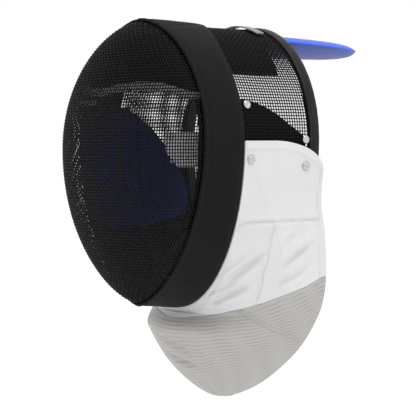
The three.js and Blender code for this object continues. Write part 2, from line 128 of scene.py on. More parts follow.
def facePoint(x, z, out=0):
    half = np.maximum(halfWidthAt(z, 0, out), 1e-6)
    edge = faceEdge(angleAtHeight(z, 0, out))
    bulge = domeDepth(z, out) * np.sqrt(np.maximum(0, 1 - (x / half) ** 2))
    return points(x, edge - bulge, z)


# The bib's inside surface. along is 0 at the centre front and 1 where the side is widest.
def bibSurface(along, z):
    flare = np.clip((bib["flareFrom"] - z) / (bib["flareFrom"] - bib["tip"]), 0, 1)
    half = np.maximum(bib["halfWidth"] * (1 - flare ** bib["flareShape"]) ** bib["flarePower"], 1e-3)
    fall = np.clip((bib["chin"] - z) / (bib["chin"] - bib["tip"]), 0, 1)
    centre = mix(bib["sideCentre"], bib["tipBack"], fall)
    reach = centre - band["side"] + bib["bulge"] * smooth(-z, -bib["chin"], 22 - bib["chin"])
    atTrim = np.where(z > bib["chin"], halfWidthAt(z, band["side"]), 0)
    share = atTrim / half
    eased = np.where(share < 0.88, share, 0.88 + (share - 0.88) * 0.6)
    depth = reach / np.sqrt(np.maximum(1 - eased ** 2, 1e-6)) * (1 - fall) ** bib["fallPower"]
    turn = pi / 2 * (1 - np.clip(along, 0, 1))
    y = centre - depth * np.sin(turn) + np.maximum(0, along - 1) * bib["straight"]
    onShell = halfWidthAt(np.maximum(z, bib["chin"]), np.clip(y, band["side"], shell["rearAt"]))
    x = mix(onShell, np.maximum(half * np.cos(turn), onShell), smooth(z, -150, -215))
    return points(x, y, z)


def bibNormal(along, z):
    level = np.maximum(z, bib["tip"] + 5)
    across = bibSurface(along + 0.01, level) - bibSurface(np.maximum(along - 0.01, 0), level)
    across = np.where((along > 0.02)[..., None], across, [1.0, 0, 0])
    return unit(np.cross(across, bibSurface(along, level + 1) - bibSurface(along, level - 1)))


def alongAt(z, y):  # the along value that gives a depth y at a height, by halving
    z, y = np.broadcast_arrays(np.asarray(z, float), np.asarray(y, float))
    low, high = np.zeros(z.shape), np.full(z.shape, 1.3)
    for _ in range(30):
        middle = (low + high) / 2
        nearer = bibSurface(middle, z)[..., 1] < y
        low, high = np.where(nearer, middle, low), np.where(nearer, high, middle)
    return (low + high) / 2


def seamHeight(along):
    eased = np.sqrt(np.minimum(along, 1.2) ** 2 + bib["seamEase"] ** 2) - bib["seamEase"]
    return bib["seamCentre"] + bib["seamRise"] * eased ** bib["seamPower"]


def rearAlong(z):
    return alongAt(z, bib["rearEdge"] + bib["rearFlare"] * smooth(z, -160, -260))


def tabTopDrop(y):
    f = np.clip((y - bib["cornerFrom"]) / (bib["rearEdge"] - bib["cornerFrom"]), 0, 1)
    return bib["cornerDrop"] * (1 - np.sqrt(1 - f * f))


# A point at some height over the inside surface. Next to the trim it is measured straight
# outward from the shell, so that the cloth ends square against the band.
def bibPoint(along, z, over=0.0):
    side = np.where(along < 0, -1, 1)
    along = np.abs(along)
    spot = bibSurface(along, z)
    edging = rear["side"] - rear["width"]
    overEdging = 1.7 * smooth(spot[..., 1], edging - 22, edging - 3)
    angle = angleAtHeight(z, band["side"])
    outward = points(np.sin(angle), 0, np.cos(angle))
    free = np.maximum(smooth(spot[..., 1], band["side"], band["side"] + 8),
                      smooth(-z, 2 - bib["chinTop"], 9 - bib["chinTop"]))
    way = unit(mix(outward, bibNormal(along, z), free[..., None]))
    spot = spot + way * (bib["seat"] + overEdging + over)[..., None]
    nearTrim = spot[..., 2] > bib["chinTop"] - 3.6
    spot[..., 1] = np.where(nearTrim, np.maximum(spot[..., 1], band["side"] + 0.4), spot[..., 1])
    spot[..., 0] *= side
    return spot


# The camera stands where the photograph was taken from.
view = {"from": (1.2131, -0.8814, -0.1077), "towards": (0, 0, -0.1703), "lens": 124.9, "roll": -0.3}
bpy.ops.object.select_all(action="DESELECT")
bpy.ops.object.camera_add(location=view["from"])
camera = bpy.context.active_object
sight = Vector(view["towards"]) - Vector(view["from"])
camera.rotation_euler = sight.to_track_quat("-Z", "Y").to_euler()
camera.rotation_euler.rotate_axis("Z", radians(view["roll"]))
camera.data.lens = view["lens"]
camera.data.sensor_width = 36
bpy.context.scene.camera = camera
bpy.context.scene.view_settings.view_transform = "Standard"


def pickOnly(*pieces):  # selects these objects, the first as the active one
    bpy.ops.object.select_all(action="DESELECT")
    for piece in pieces:
        piece.select_set(True)
    bpy.context.view_layer.objects.active = pieces[0]


def softLight(name, place, towards, size, power):
    bpy.ops.object.light_add(type="AREA", location=place)
    lamp = bpy.context.active_object
    lamp.name = name
    lamp.data.shape = "DISK"
    lamp.data.size = size
    lamp.data.energy = power
    lamp.rotation_euler = (Vector(towards) - Vector(place)).to_track_quat("-Z", "Y").to_euler()


studio = {"sky": 1.0, "floor": -0.5, "floorSize": 40, "floorGlow": 0.16}
softLight("topLight", (0.5, -0.2, 1.4), (0, 0, -0.2), 0.5, 7)
softLight("sideLight", (1.5, 0.9, 0.5), (0, 0, -0.15), 0.6, 2)

world = bpy.data.worlds.new("studioSky")
bpy.context.scene.world = world
world.use_nodes = True
world.node_tree.nodes["Background"].inputs["Color"].default_value = (1, 1, 1, 1)
world.node_tree.nodes["Background"].inputs["Strength"].default_value = studio["sky"]


# Materials: in every finish the colour, the roughness or both wander a little, and cloths carry their
# threads.
def newFinish(name, colour, roughness, metallic=0.0, specular=0.5, sheen=0.0):
    finish = bpy.data.materials.new(name)
    finish.use_nodes = True
    tree = finish.node_tree
    shader = tree.nodes["Principled BSDF"]
    shader.inputs["Base Color"].default_value = (*colour, 1)
    shader.inputs["Roughness"].default_value = roughness
    shader.inputs["Metallic"].default_value = metallic
    shader.inputs["Specular IOR Level"].default_value = specular
    shader.inputs["Sheen Weight"].default_value = sheen
    shader.inputs["Sheen Roughness"].default_value = 0.4
    return finish, tree, shader


def node(tree, kind, **values):
    made = tree.nodes.new("ShaderNode" + kind)
    for key, value in values.items():
        socket = key.replace("_", " ")
        if socket in made.inputs:
            made.inputs[socket].default_value = value
        else:
            setattr(made, key, value)
    return made


def coordinates(tree, source):
    return node(tree, "TexCoord").outputs[source]


def speckle(tree, source, scale, detail):
    noise = node(tree, "TexNoise", Scale=scale, Detail=detail)
    tree.links.new(source, noise.inputs["Vector"])
    return noise.outputs["Fac"]


def bumpy(tree, shader, height, strength, distance):
    bump = node(tree, "Bump", Strength=strength, Distance=distance)
    tree.links.new(height, bump.inputs["Height"])
    tree.links.new(bump.outputs["Normal"], shader.inputs["Normal"])


def patchyColour(tree, shader, source, colour, other, scale):  # soft variation between two colours
    blend = node(tree, "Mix", data_type="RGBA")
    blend.inputs["A"].default_value = (*colour, 1)
    blend.inputs["B"].default_value = (*other, 1)
    tree.links.new(speckle(tree, source, scale, 4.0), blend.inputs["Factor"])
    tree.links.new(blend.outputs["Result"], shader.inputs["Base Color"])
    return blend


def roughnessFrom(tree, shader, share, low, high):
    span = node(tree, "MapRange", To_Min=low, To_Max=high)
    tree.links.new(share, span.inputs["Value"])
    tree.links.new(span.outputs["Result"], shader.inputs["Roughness"])


def uneven(tree, shader, source, low, high, scale):  # roughness that wanders a little
    roughnessFrom(tree, shader, speckle(tree, source, scale, 3.0), low, high)


def threads(tree, shader, pitch, height, ratio=1.0):  # crossing threads on the cloth's own map
    heights = []
    for direction, spacing in (("X", pitch), ("Y", pitch * ratio)):
        wave = node(tree, "TexWave", Scale=0.314 / spacing, bands_direction=direction, Distortion=0.4)
        wave.inputs["Detail Scale"].default_value = 2.0
        tree.links.new(coordinates(tree, "UV"), wave.inputs["Vector"])
        heights.append(wave.outputs["Fac"])
    weave = node(tree, "Math", operation="MULTIPLY")
    tree.links.new(heights[0], weave.inputs[0])
    tree.links.new(heights[1], weave.inputs[1])
    both = node(tree, "Math", operation="MULTIPLY_ADD")
    both.inputs[1].default_value = 0.3  # the fuzz's share
    tree.links.new(speckle(tree, coordinates(tree, "UV"), 0.6 / pitch, 5.0), both.inputs[0])
    tree.links.new(weave.outputs["Value"], both.inputs[2])
    bumpy(tree, shader, both.outputs["Value"], 0.6, height)


def clothFinish(name, colour, other, pitch, height, roughness, sheen=0.0, specular=0.3):
    finish, tree, shader = newFinish(name, colour, roughness, 0.0, specular, sheen)
    patchyColour(tree, shader, coordinates(tree, "Object"), colour, other, 55)
    threads(tree, shader, pitch, height)
    return finish


def paintedWire():
    finish, tree, shader = newFinish("blackWirePaint", (0.004, 0.004, 0.005), 0.5, 0.0, 0.12)
    source = coordinates(tree, "Object")
    patchyColour(tree, shader, source, (0.002, 0.002, 0.003), (0.008, 0.008, 0.009), 300)
    uneven(tree, shader, source, 0.4, 0.6, 700)
    return finish


def satinVinyl():
    finish, tree, shader = newFinish("satinVinyl", (0.006, 0.006, 0.007), 0.42, 0.0, 0.18)
    source = coordinates(tree, "Object")
    patchyColour(tree, shader, source, (0.005, 0.005, 0.006), (0.01, 0.01, 0.011), 80)
    uneven(tree, shader, source, 0.34, 0.5, 60)
    grain = node(tree, "TexVoronoi", Scale=900.0)
    tree.links.new(source, grain.inputs["Vector"])
    bumpy(tree, shader, grain.outputs["Distance"], 0.25, 0.0002)
    return finish


def brushedSteel(name, colour, low, high):
    finish, tree, shader = newFinish(name, colour, low, 1.0)
    place = node(tree, "TexCoord")
    stretch = node(tree, "Mapping", Scale=(60, 900, 900))
    tree.links.new(place.outputs["Object"], stretch.inputs["Vector"])
    scratches = speckle(tree, stretch.outputs["Vector"], 3.0, 6.0)
    roughnessFrom(tree, shader, scratches, low, high)
    bumpy(tree, shader, scratches, 0.15, 0.0001)
    return finish


def ribbedWeave():  # painted shade darkens the ribs' furrows and a strip beside the panel seam, and finer threads cross them
    finish, tree, shader = newFinish("conductiveWeave", (0.5, 0.49, 0.47), 0.55, 0.1, 0.35)
    blend = patchyColour(tree, shader, coordinates(tree, "UV"), (0.5, 0.487, 0.468),
                         (0.39, 0.379, 0.364), 700)
    # the furrow attribute paints shade into the furrows and beside the panel seam
    furrow = node(tree, "Attribute", attribute_name="furrow")
    darker = node(tree, "Mix", data_type="RGBA", blend_type="MULTIPLY")
    darker.inputs["B"].default_value = (0.74, 0.735, 0.725, 1)
    tree.links.new(furrow.outputs["Fac"], darker.inputs["Factor"])
    tree.links.new(blend.outputs["Result"], darker.inputs["A"])
    tree.links.new(darker.outputs["Result"], shader.inputs["Base Color"])
    threads(tree, shader, 0.0009, 0.0004, 1.6)
    return finish


finishes = {
    "wire": paintedWire(),
    "trim": clothFinish("stretchBand", (0.0065, 0.0065, 0.007), (0.009, 0.009, 0.0095), 0.0007, 0.0002,
                        0.9, 0.04, specular=0.12),
    "edging": satinVinyl(),
    "white": clothFinish("whiteCloth", (0.65, 0.65, 0.66), (0.69, 0.69, 0.70), 0.0006, 0.00016, 0.85, 0.15),
    "thread": clothFinish("whiteThread", (0.6, 0.6, 0.61), (0.68, 0.68, 0.69), 0.0004, 0.0001, 0.8, 0.1),
    "blackThread": clothFinish("blackThread", (0.012, 0.012, 0.013), (0.02, 0.02, 0.021), 0.0004, 0.0001,
                               0.7, 0.1),
    "lame": ribbedWeave(),
    "blackPad": clothFinish("blackLining", (0.004, 0.004, 0.005), (0.007, 0.007, 0.008), 0.001, 0.0003,
                            0.9, specular=0.08),
    "cheekBack": clothFinish("blackCheekLining", (0.005, 0.005, 0.006), (0.009, 0.009, 0.01), 0.001,
                             0.0003, 0.9, specular=0.08),
    "bluePad": clothFinish("blueLining", (0.01, 0.013, 0.075), (0.015, 0.02, 0.11), 0.001, 0.0003, 0.9,
                           specular=0.08),
    "elastic": clothFinish("lightElastic", (0.72, 0.72, 0.73), (0.8, 0.8, 0.81), 0.0012, 0.0004, 0.8, 0.1),
    "greyBinding": clothFinish("greyBinding", (0.5, 0.5, 0.51), (0.6, 0.6, 0.61), 0.0008, 0.0003, 0.8, 0.1),
    "tongueTop": clothFinish("brightBlueCloth", (0.03, 0.1, 0.68), (0.04, 0.13, 0.75), 0.0006, 0.00015,
                             0.5, 0.15),
    # The tongue's underside is the same blue cloth as its top: its darker, greyer blue is painted shade mixed
    # with a painted pale reflection.
    "tongueUnder": clothFinish("blueClothPaintedShade", (0.045, 0.075, 0.3), (0.065, 0.1, 0.36), 0.0008, 0.0003,
                               0.7, 0.3),
    "steel": brushedSteel("springSteel", (0.55, 0.55, 0.54), 0.25, 0.42),
    "plate": brushedSteel("plateSteel", (0.3, 0.3, 0.29), 0.3, 0.45),
    "rivet": brushedSteel("rivetMetal", (0.5, 0.5, 0.49), 0.28, 0.45),
}
print("camera, lights and finishes are ready")


# Each piece rides on the root body and stands for solids of the part.
def finishPiece(piece, slot, *coats, stands=()):
    for coat in coats:
        piece.data.materials.append(finishes[coat])
    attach(piece, "root")
    if stands:
        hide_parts(*stands)
    return piece


def editAll(*steps):  # each step is an edit-mode operator and its settings
    bpy.ops.object.mode_set(mode="EDIT")
    bpy.ops.mesh.select_all(action="SELECT")
    for operator, settings in steps:
        operator(**settings)
    bpy.ops.object.mode_set(mode="OBJECT")


def arcLengths(spots, axis):
    steps = np.linalg.norm(np.diff(spots, axis=axis), axis=-1)
    start = np.zeros_like(np.take(steps, [0], axis=axis))
    return np.concatenate([start, np.cumsum(steps, axis=axis)], axis=axis)


def gridShares(across, down):
    return np.meshgrid(np.linspace(0, 1, across + 1), np.linspace(0, 1, down + 1))


def outwardOf(spots, turned=False):
    across, down = np.gradient(spots, axis=1), np.gradient(spots, axis=0)
    return unit(np.cross(across, down)) * (-1 if turned else 1)


# A flat grid laid onto points worked out for each of its corners (rows down, columns across),
# with its map in metres along the cloth.
def layGrid(name, spots, turned=False, values=None):
    down, across = spots.shape[0] - 1, spots.shape[1] - 1
    bpy.ops.object.select_all(action="DESELECT")
    bpy.ops.mesh.primitive_grid_add(x_subdivisions=across, y_subdivisions=down, size=1)
    piece = bpy.context.active_object
    piece.name = name
    mesh = piece.data
    mesh.name = name
    mesh.vertices.foreach_set("co", toFrame(spots).ravel())
    corner = np.zeros(len(mesh.loops), int)
    mesh.loops.foreach_get("vertex_index", corner)
    sideways, downwards = arcLengths(spots, 1) * mm, arcLengths(spots, 0) * mm
    middle = sideways[:, across // 2][:, None]
    cloth = np.stack([(sideways - middle).ravel(), downwards.ravel()], axis=-1)
    mesh.uv_layers[0].data.foreach_set("uv", cloth[corner].ravel())
    if values is not None:
        mesh.attributes.new(values[0], "FLOAT", "POINT").data.foreach_set("value", values[1].ravel())
    mesh.update()
    if turned:
        editAll((bpy.ops.mesh.flip_normals, {}))
    bpy.ops.object.shade_smooth()
    return piece


def applyModifiers(piece):
    pickOnly(piece)
    for modifier in [m.name for m in piece.modifiers]:
        bpy.ops.object.modifier_apply(modifier=modifier)


def thicken(piece, thick, angle=50, lining=None):  # the lining, where given, covers the inside
    wall = piece.modifiers.new("wall", "SOLIDIFY")
    wall.thickness = thick * mm
    wall.offset = -1
    if lining is not None:
        for coat in lining:
            piece.data.materials.append(finishes[coat])
        wall.material_offset = 1
    applyModifiers(piece)
    bpy.ops.object.shade_smooth_by_angle(angle=radians(angle))


def joinPieces(name, pieces, merge=0.0):
    pickOnly(*pieces)
    if len(pieces) > 1:
        bpy.ops.object.join()
    whole = bpy.context.active_object
    whole.name = name
    if merge:
        editAll((bpy.ops.mesh.remove_doubles, {"threshold": merge * mm}),
                (bpy.ops.mesh.normals_make_consistent, {"inside": False}))
    return whole


def alongPath(path, pitch):  # evenly spaced points and their directions
    reach = np.concatenate([[0], np.cumsum(np.linalg.norm(np.diff(path, axis=0), axis=-1))])
    count = max(int(reach[-1] / pitch), 2)
    at = (np.arange(count) + 0.5) * reach[-1] / count
    spots = np.stack([np.interp(at, reach, path[:, i]) for i in range(3)], axis=-1)
    ahead = np.stack([np.interp(at + 0.5, reach, path[:, i]) for i in range(3)], axis=-1)
    behind = np.stack([np.interp(at - 0.5, reach, path[:, i]) for i in range(3)], axis=-1)
    return spots, unit(ahead - behind)


# Stitches along paths on a surface: one small rounded stitch, copied to every place.
def sewStitches(name, paths, coat, slot, stitch):
    bpy.ops.object.select_all(action="DESELECT")
    bpy.ops.mesh.primitive_uv_sphere_add(segments=6, ring_count=4, radius=0.5)
    seed = bpy.context.active_object
    shape = np.array([v.co for v in seed.data.vertices])
    sides = [list(face.vertices) for face in seed.data.polygons]
    bpy.data.objects.remove(seed)
    corners, faces = [], []
    for path, normals in paths:
        spots, ahead = alongPath(path, stitch["pitch"])
        near = np.argmin(np.linalg.norm(spots[:, None] - path[None], axis=-1), axis=1)
        up = unit(normals[near])
        aside = unit(np.cross(ahead, up))
        for k in range(len(spots)):
            frameOf = np.stack([ahead[k] * stitch["length"], aside[k] * stitch["width"],
                                up[k] * stitch["high"]])
            faces += [[index + len(corners) * len(shape) for index in side] for side in sides]
            corners.append(shape @ frameOf + spots[k])
    mesh = bpy.data.meshes.new(name)
    mesh.from_pydata(toFrame(np.concatenate(corners)).tolist(), [], faces)
    piece = bpy.data.objects.new(name, mesh)
    bpy.context.scene.collection.objects.link(piece)
    pickOnly(piece)
    bpy.ops.object.shade_smooth()
    return finishPiece(piece, slot, coat)


# How far each spot stands from a line drawn on a surface, with the nearest share of the line.
def lineDistance(spots, path):
    flat = spots.reshape(-1, 3)
    apart = np.stack([np.linalg.norm(flat - p, axis=-1) for p in path])
    nearest = apart.argmin(axis=0)
    return apart.min(axis=0).reshape(spots.shape[:-1]), (nearest / (len(path) - 1)).reshape(spots.shape[:-1])


def tracedLine(alongs, heights, over, count=40):
    knots = np.linspace(0, 1, len(alongs))
    share = np.linspace(0, 1, count)
    return bibPoint(np.interp(share, knots, alongs), np.interp(share, knots, heights), np.full(count, over))


wire = {"pitch": 3.1, "radius": 0.6, "weave": 0.5, "underTrim": 5, "noseStep": 0.02,
        "drawnIn": 0.12, "reach": 170}  # the weave is closer on the dome's steep sides


def roundWires(name, lines, radius, resolution, caps):  # round wires along lines of points, as one mesh
    curve = bpy.data.curves.new(name, "CURVE")
    curve.dimensions = "3D"
    curve.bevel_depth = radius * mm
    curve.bevel_resolution = resolution
    curve.use_fill_caps = caps
    for line in lines:
        spline = curve.splines.new("POLY")
        spline.points.add(len(line) - 1)
        spline.points.foreach_set("co", np.hstack([toFrame(line), np.ones((len(line), 1))]).ravel())
    piece = bpy.data.objects.new(name, curve)
    bpy.context.scene.collection.objects.link(piece)
    pickOnly(piece)
    bpy.ops.object.convert(target="MESH")
    bpy.ops.object.shade_smooth()
    return bpy.context.active_object


def weaveWires(name, crossings, outward, valid, stands, tail=None):
    runs = []
    rows, columns = valid.shape
    parity = (-1.0) ** np.add.outer(np.arange(rows), np.arange(columns))
    lift = outward * (parity * wire["weave"])[..., None]
    for spots, kept in ((crossings + lift, valid), ((crossings - lift).swapaxes(0, 1), valid.T)):
        for line, used in zip(spots, kept):
            ends = np.flatnonzero(np.diff(np.concatenate([[0], used.astype(int), [0]])))
            for start, stop in zip(ends[::2], ends[1::2]):
                if stop - start < 2:
                    continue
                run = line[start:stop]
                if tail is not None:
                    run = np.concatenate([[tail(run[0])], run, [tail(run[-1])]])
                runs.append(run)
    return finishPiece(roundWires(name, runs, wire["radius"], 1, True), "wire", "wire", stands=stands)


def evenSteps(path, pitch):  # positions along a path, counted from its middle
    reach = np.concatenate([[0], np.cumsum(np.linalg.norm(np.diff(path, axis=0), axis=-1))])
    reach -= reach[-1] / 2
    count = int(reach[-1] / pitch)
    return reach, np.arange(-count, count + 1) * pitch


def faceMesh():
    middle = -1.0  # the crossing plane, a wire's width inside the outer face
    turns = np.linspace(-pi / 2, pi / 2, 800)
    low = -shell["crownRise"] - shell["chinDropFace"] + 1.2
    spine = mix(low, -1.2, (1 + np.sin(turns)) / 2)
    reach, steps = evenSteps(facePoint(0 * spine, spine, middle), wire["pitch"])
    heights = np.interp(steps, reach, spine)
    columns = np.arange(-64, 65)
    placed = columns * wire["pitch"]
    placed = placed * (1 - wire["drawnIn"] * (placed / wire["reach"]) ** 2)
    across = np.zeros((len(heights), len(columns)))
    valid = np.zeros(across.shape, bool)
    for row, z in enumerate(heights):
        half = halfWidthAt(z, 0, middle)
        line = half * np.sin(turns)
        lengths, _ = evenSteps(facePoint(line, np.full(line.shape, z), middle), wire["pitch"])
        across[row] = np.interp(placed, lengths, line)
        valid[row] = np.abs(placed) < lengths[-1] - 0.4
    z = np.broadcast_to(heights[:, None], across.shape)
    crossings = facePoint(across, z, middle)
    step = wire["noseStep"]
    toCentre = 1 - step * 0.05
    slopeX = (crossings[..., 1] - facePoint(across * toCentre, z, middle)[..., 1]) / np.where(
        np.abs(across) < 0.5, 1, across * (1 - toCentre))
    inner = mix(dome["level"], z, toCentre)
    slopeZ = (crossings[..., 1] - facePoint(across * toCentre, inner, middle)[..., 1]
              - slopeX * across * (1 - toCentre)) / np.where(np.abs(z - inner) < 1e-4, 1, z - inner)
    outward = unit(np.stack([slopeX, -np.ones_like(slopeX), slopeZ], axis=-1))
    rimAngles = np.linspace(-pi, pi, 721)
    rim = shellPoint(rimAngles, 0, middle)

    def tail(spot):  # the wire's end turns back under the trim
        angle = rimAngles[np.argmin(np.hypot(rim[:, 0] - spot[0], rim[:, 2] - spot[2]))]
        return shellPoint(angle, wire["underTrim"], middle)

    return weaveWires("faceWires", crossings, outward, valid, ["front_mesh"], tail)


def sideMesh():
    middle = -1.0
    edge = angleAtHeight(rear["sideMeshBottom"], 60)
    turns = np.linspace(-edge, edge, 900)
    reach, steps = evenSteps(shellPoint(turns, 60, middle), wire["pitch"])
    angles = np.interp(steps, reach, turns)[:, None]
    depths = np.arange(36, 152, wire["pitch"])[None, :]
    crossings = shellPoint(angles, depths, middle)
    outward = unit(shellPoint(angles, depths, 5) - crossings)
    valid = (depths > trimRear(angles) - 6) & (depths < meshRear(angles) - 0.5)
    return weaveWires("sideWires", crossings, outward, valid, ["side_mesh"])


faceMesh()
sideMesh()
print("the wire is woven")

trimShape = {"around": 288, "down": 40, "wall": 1.1, "wrinkle": 0.35}
# share of the width, millimetres in from the front or rear edge, millimetres off the shell
trimProfile = [dict(zip(("share", "front", "rear", "out"), row)) for row in (
    (0.0, 1.6, None, 0.35), (0.03, 0.3, None, 0.6), (0.06, -0.2, None, 1.6), (0.09, 0.4, None, 2.7),
    (0.13, 1.8, None, 3.3), (0.17, 3.2, None, 2.9), (0.2, 4.2, None, 2.1), (0.24, 5.4, None, 2.6),
    (0.32, 9.0, None, 3.0), (0.84, None, 6.0, 2.9), (0.88, None, 4.4, 2.5), (0.91, None, 3.2, 2.8),
    (0.96, None, 1.0, 2.5), (0.985, None, 0.1, 1.7), (1.0, None, 0.0, 0.9))]


def profileOf(rows, key, share):  # a profile's value at a share of its knots
    return np.interp(share, np.linspace(0, 1, len(rows)), [row[key] for row in rows])


def trimWrinkles(angle, share):  # the stretched cloth puckers slightly, most on the crown
    crown = 0.35 + 0.65 * np.maximum(0, np.cos(angle)) ** 4
    waves = (np.sin(31 * angle + 5 * share) * np.sin(7 * angle + 2.1) + 0.6 * np.sin(13 * angle - 4 * share)
             + 0.5 * np.sin(53 * angle + 3 * np.sin(9 * share)))
    return trimShape["wrinkle"] * crown * waves * np.sin(pi * np.clip(share, 0, 1)) ** 0.6


def trimSurface(angle, share, over=0.0):
    shares = [row["share"] for row in trimProfile]
    width = trimRear(angle) - faceEdge(angle)
    fromFront = np.stack([np.full(width.shape, row["front"]) if row["rear"] is None else width - row["rear"]
                          for row in trimProfile], axis=-1)
    place = np.clip(np.searchsorted(shares, share, side="right") - 1, 0, len(shares) - 2)
    start, stop = np.take(shares, place), np.take(shares, place + 1)
    f = (share - start) / (stop - start)
    low = np.take_along_axis(fromFront, place[..., None], axis=-1)[..., 0]
    high = np.take_along_axis(fromFront, place[..., None] + 1, axis=-1)[..., 0]
    out = np.interp(share, shares, [row["out"] for row in trimProfile])
    return shellPoint(angle, faceEdge(angle) + mix(low, high, f), out + trimWrinkles(angle, share) + over)


def trimBand():
    u, v = gridShares(trimShape["around"], trimShape["down"])
    angle = mix(-pi, pi, u)
    piece = joinPieces("trimBand", [layGrid("trimBand", trimSurface(angle, v), turned=True)], merge=0.05)
    thicken(piece, trimShape["wall"], 70)
    finishPiece(piece, "trim", "trim", stands=["front_trim"])
    around = np.linspace(-pi, pi, 400)
    paths = []
    for share in (0.23, 0.875):
        rowShare = np.full(around.shape, share)
        path = trimSurface(around, rowShare, 0.05)
        paths.append((path, path - trimSurface(around, rowShare, -3)))
    sewStitches("trimStitches", paths, "blackThread", "trim",
                {"pitch": 3.4, "length": 2.6, "width": 0.55, "high": 0.35})


# A tape folded over the rear edge of the side mesh.
edging = {"along": 260, "wall": 0.8}
# millimetres in front of the mesh's rear edge, millimetres off the shell's outside
edgingProfile = [dict(zip(("front", "out"), row)) for row in (
    (9.8, 0.3), (9.9, 0.8), (9.4, 1.25), (8.4, 1.15), (7.6, 0.85), (6.8, 1.2), (5.0, 1.45), (2.0, 1.5),
    (0.3, 1.35), (-1.0, 0.8), (-1.8, -0.2), (-2.0, -1.2), (-1.7, -2.3), (-0.7, -3.2), (1.0, -3.5),
    (5.0, -3.45), (8.6, -3.3), (9.7, -2.9), (9.8, -2.5))]


def edgingTape():
    end = angleAtHeight(rear["sideMeshBottom"], 60)
    u, v = gridShares(edging["along"], 54)
    front, out = profileOf(edgingProfile, "front", v), profileOf(edgingProfile, "out", v)
    angle = mix(-end, end, u)
    ripple = 0.12 * np.sin(61 * angle) * np.sin(17 * angle + 1)
    spots = shellPoint(angle, meshRear(angle) - front, out + ripple)
    piece = layGrid("edgingTape", spots, turned=True)
    thicken(piece, edging["wall"], 60)
    finishPiece(piece, "edging", "edging", stands=["rear_edging"])
    line = np.linspace(-end, end, 400)
    path = shellPoint(line, meshRear(line) - 7.6, 0.95)
    sewStitches("edgingStitches", [(path, path - shellPoint(line, meshRear(line) - 7.6, -3))],
                "blackThread", "edging", {"pitch": 4.0, "length": 3.0, "width": 0.5, "high": 0.35})


trimBand()
edgingTape()
print("the trim band and the edging are on")

bibGrid = {"half": 150, "down": 96, "frontShare": 0.62, "hem": 9.5, "hemRise": 0.55, "rivetDimple": 0.7,
           "tuck": 2.2,  # how far the front edge turns in behind the trim
           "creases": 1.35}  # how strongly the lines below show
# Lines sewn or pressed into each side of the cloth, as along and height on the bib: rise is in
# millimetres, negative for a furrow, wide its half width, lips how much the cloth swells beside it.
bibLines = [
    {"name": "crossSeam", "rise": -1.3, "wide": 1.7, "lips": 0.6, "fade": 0,
     "along": (0.69, 0.771, 0.858, 0.962, 1.168), "height": (-202.4, -199.4, -200, -199.7, -199.7)},
    {"name": "crossSwell", "rise": 1.2, "wide": 4.0, "lips": 0, "fade": 0.5,
     "along": (0.71, 0.771, 0.858, 0.962, 1.1), "height": (-207, -205, -205.5, -205, -205)},
    {"name": "sideSeam", "rise": -0.8, "wide": 1.1, "lips": 0.4, "fade": 0,
     "along": (0.869, 0.837, 0.803, 0.76, 0.718, 0.689, 0.641, 0.6),
     "height": (-201.5, -212, -223.3, -239.5, -249.4, -261, -274.5, -286)},
    {"name": "longCrease", "rise": -3.0, "wide": 3.0, "lips": 1.2, "fade": 0.6,
     "along": (0.46, 0.54, 0.633, 0.705, 0.774), "height": (-260, -251.5, -242.8, -236, -229.6)},
    {"name": "chinCrease", "rise": -2.6, "wide": 2.5, "lips": 1.2, "fade": 0.6,
     "along": (0.313, 0.38, 0.448, 0.51, 0.567, 0.612), "height": (-280.5, -276, -272.1, -268, -264, -263.1)},
    {"name": "sideCreaseUpper", "rise": -2.6, "wide": 2.8, "lips": 1.1, "fade": 0.6,
     "along": (0.85, 0.903, 0.956, 1.028, 1.1), "height": (-246.7, -239, -232.6, -224.8, -221.5)},
    {"name": "sideCreaseLower", "rise": -2.0, "wide": 3.2, "lips": 0.9, "fade": 0.8,
     "along": (0.75, 0.825, 0.898, 0.98, 1.059), "height": (-264.6, -260, -255.6, -250, -243.1)},
    {"name": "seamFold", "rise": -1.4, "wide": 3.4, "lips": 0.6, "fade": 1.0,
     "along": (0.874, 0.919, 0.964), "height": (-224.2, -217.6, -212.3)},
    {"name": "chinFold", "rise": -1.3, "wide": 1.8, "lips": 0.6, "fade": 0.8,
     "along": (0.313, 0.335, 0.36), "height": (-267.9, -266.5, -265)},
    {"name": "chinWelt", "rise": 1.4, "wide": 2.2, "lips": -0.4, "fade": 0.7,
     "along": (0.305, 0.355, 0.406, 0.44, 0.469), "height": (-281.1, -281.8, -283.2, -286, -288.6)},
]
lameLines = [
    {"name": "panelSeam", "rise": 0.9, "wide": 1.6, "lips": -0.2, "fade": 0,
     "along": (0.514, 0.59, 0.668, 0.754, 0.84, 0.996),
     "height": (-289.5, -295.5, -300.5, -305.2, -309.5, -317.3)},
]
foldLines = [  # across the lower front, from the wearer's right to the left
    {"name": "lowerFold", "rise": -2.6, "wide": 3.0, "lips": 1.2, "fade": 0.8,
     "along": (-0.2, -0.089, 0.01, 0.12, 0.268), "height": (-337, -340.6, -344, -346, -352.9)},
    {"name": "upperFold", "rise": -2.2, "wide": 3.0, "lips": 1.0, "fade": 0.8,
     "along": (-0.16, -0.055, 0.02, 0.096, 0.223), "height": (-320, -323, -327, -330.2, -335.8)},
]
rivetSpots = [
    {"name": "mesh_rivet_front", "back": 55, "height": -85, "onBib": False},
    {"name": "mesh_rivet_rear", "back": 126, "height": -119, "onBib": False},
    {"name": "bib_rivet_front", "back": 55, "height": -138, "onBib": True},
    {"name": "bib_rivet_rear", "back": 124, "height": -145, "onBib": True},
]


def mirrored(spots):
    return np.stack([np.abs(spots[..., 0]), spots[..., 1], spots[..., 2]], axis=-1)


def lineRelief(spots, lines):
    total = np.zeros(spots.shape[:-1])
    for line in lines:
        away, share = lineDistance(spots, tracedLine(line["along"], line["height"], bib["thick"]))
        strength = np.sin(pi * np.clip(share, 0.001, 0.999)) ** line["fade"] if line["fade"] else 1
        core = np.exp(-(away / line["wide"]) ** 2)
        lips = np.exp(-((away - 2.1 * line["wide"]) / (1.1 * line["wide"])) ** 2)
        total += bibGrid["creases"] * strength * (line["rise"] * core + line["lips"] * lips)
    return total


